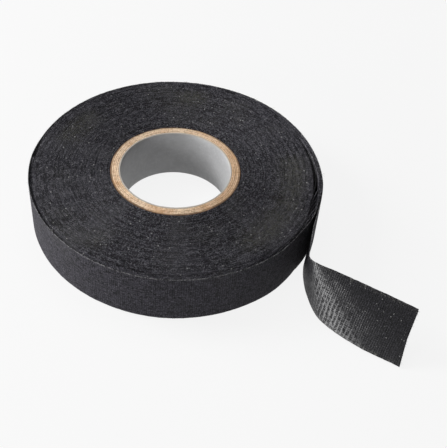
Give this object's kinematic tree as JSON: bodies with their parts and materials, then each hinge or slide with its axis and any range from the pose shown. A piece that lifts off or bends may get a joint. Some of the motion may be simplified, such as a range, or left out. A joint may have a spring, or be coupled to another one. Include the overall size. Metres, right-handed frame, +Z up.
{
  "type": "electrical tape roll",
  "caption": "Roll of black cloth-backed electrical tape on a board core, lying flat, with its free end peeled off the roll and curled outwards.",
  "frame": {"origin": "centre of the core's bore at the roll's bottom face", "axes": "+Z up along the bore; the free end leaves the roll near +X, heads towards -Y and curls towards +X"},
  "size_m": [0.1299, 0.1107, 0.0191],
  "materials": {
    "liner_paper": "matte grey-white paper",
    "core_board": "matte kraft board",
    "tape_cloth": "matte black woven cloth",
    "tape_adhesive": "tacky black adhesive with a soft gloss"
  },
  "bodies": {
    "roll": {"core_liner": "liner_paper", "core_ply_1": "core_board", "core_ply_2": "core_board", "core_ply_3": "core_board", "core_ply_4": "core_board", "core_ply_5": "core_board", "wound_tape": "tape_cloth", "outer_turn_adhesive": "tape_adhesive", "outer_turn_cloth": "tape_cloth"},
    "tail_root": {"tail_root_cloth": "tape_cloth", "tail_root_adhesive": "tape_adhesive"},
    "tail_middle": {"tail_middle_cloth": "tape_cloth", "tail_middle_adhesive": "tape_adhesive"},
    "tail_curl": {"tail_curl_cloth": "tape_cloth", "tail_curl_adhesive": "tape_adhesive"},
    "tail_end": {"tail_end_cloth": "tape_cloth", "tail_end_adhesive": "tape_adhesive"}
  },
  "joints": [
    {"name": "tail_peel", "type": "hinge", "parent": "roll", "child": "tail_root", "pos_m": [0.04954, -0.00582, 0], "axis": [0, 0, 1], "range_deg": [0, 40], "stiffness_Nm_per_rad": 0.001},
    {"name": "tail_flex", "type": "hinge", "parent": "tail_root", "child": "tail_middle", "pos_m": [0.04814, -0.01774, 0], "axis": [0, 0, 1], "range_deg": [-8, 25], "stiffness_Nm_per_rad": 0.001},
    {"name": "tail_bend", "type": "hinge", "parent": "tail_middle", "child": "tail_curl", "pos_m": [0.04604, -0.03562, 0.022], "axis": [-0.0371, -0.3156, 0.9482], "range_deg": [-45, 20], "stiffness_Nm_per_rad": 0.001},
    {"name": "tail_tip_flex", "type": "hinge", "parent": "tail_curl", "child": "tail_end", "pos_m": [0.04601, -0.03552, 0.02199], "axis": [-0.3916, 0.4811, 0.7844], "range_deg": [-30, 25], "stiffness_Nm_per_rad": 0.001}
  ]
}
